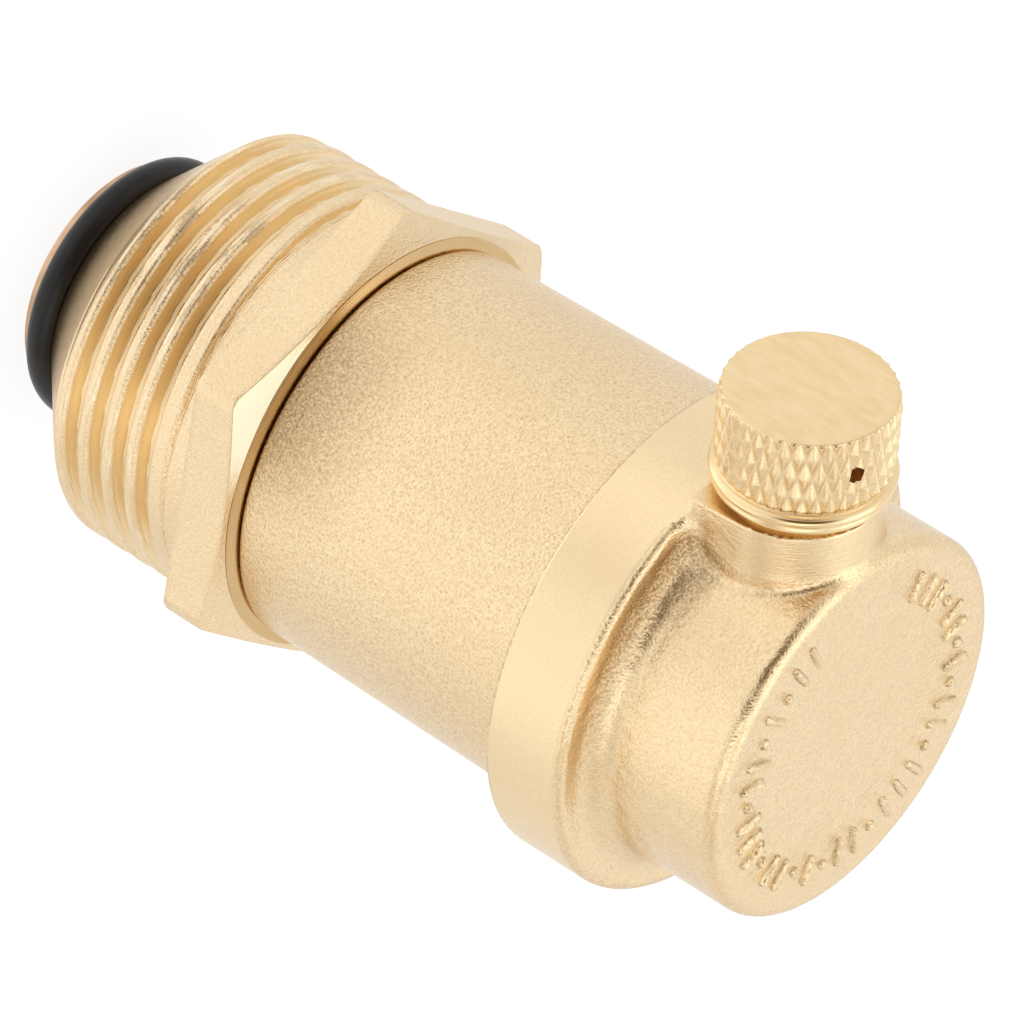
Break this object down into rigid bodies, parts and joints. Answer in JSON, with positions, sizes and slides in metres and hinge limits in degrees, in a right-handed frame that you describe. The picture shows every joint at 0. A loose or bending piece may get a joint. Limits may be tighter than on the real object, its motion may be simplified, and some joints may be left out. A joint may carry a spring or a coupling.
{
  "type": "automatic air vent",
  "caption": "Brass float air vent with a male inlet thread, O-ring nose, spanner hexagon, cylindrical float chamber and a knurled side exhaust cap.",
  "frame": {"origin": "on the vent axis, in the plane of the hexagon's seating face", "axes": "+Z along the vent axis from the inlet thread to the closed head, -Y along the exhaust boss and cap"},
  "size_m": [0.0378, 0.047, 0.0716],
  "materials": {
    "body_brass": "forged and sand-blasted, machined on the band and the boss top",
    "tail_brass": "turned, blasted crests and flats, bright thread valleys",
    "cap_brass": "turned and diamond knurled, satin top",
    "inner_brass": "turned",
    "bush_copper": "turned, slightly tarnished red brass",
    "stainless": "plain stainless",
    "o_ring_rubber": "matte black nitrile",
    "valve_rubber": "matte",
    "float_plastic": "moulded polypropylene"
  },
  "bodies": {
    "vent": {"vent_body": "body_brass", "threaded_tail": "tail_brass", "end_bush": "bush_copper", "nose_o_ring": "o_ring_rubber", "body_o_ring": "o_ring_rubber", "baffle": "inner_brass", "baffle_ring": "stainless", "valve_nozzle": "inner_brass", "nozzle_o_ring": "o_ring_rubber", "lever_bracket": "stainless", "bracket_screws": "stainless", "lever_pin": "stainless", "pin_clip": "stainless", "lever_spring": "stainless"},
    "float_unit": {"float": "float_plastic", "float_hanger": "stainless", "hanger_pin": "stainless"},
    "lever_unit": {"lever": "inner_brass", "valve_pad": "valve_rubber"},
    "seal_unit": {"cap_seal": "valve_rubber"},
    "cap_unit": {"exhaust_cap": "cap_brass"}
  },
  "joints": [
    {"name": "float_travel", "type": "slide", "parent": "vent", "child": "float_unit", "axis": [0, 0, 1], "range_m": [-0.00155, 0]},
    {"name": "lever_pivot", "type": "hinge", "parent": "vent", "child": "lever_unit", "pos_m": [0, -0.0068, 0.0378], "axis": [1, 0, 0], "range_deg": [-13.1, 0], "deforming": ["lever_spring"]},
    {"name": "cap_lift", "type": "slide", "parent": "vent", "child": "seal_unit", "axis": [0, -1, 0], "range_m": [0, 0.00151]},
    {"name": "cap_turn", "type": "hinge", "parent": "seal_unit", "child": "cap_unit", "pos_m": [0, -0.02, 0.0425], "axis": [0, -1, 0], "range_deg": [0, 720]}
  ],
  "couplings": [
    {"joint": "lever_pivot", "follows": "float_travel", "rad_per_m": 147.06},
    {"joint": "cap_lift", "follows": "cap_turn", "m_per_rad": 0.00011937}
  ]
}
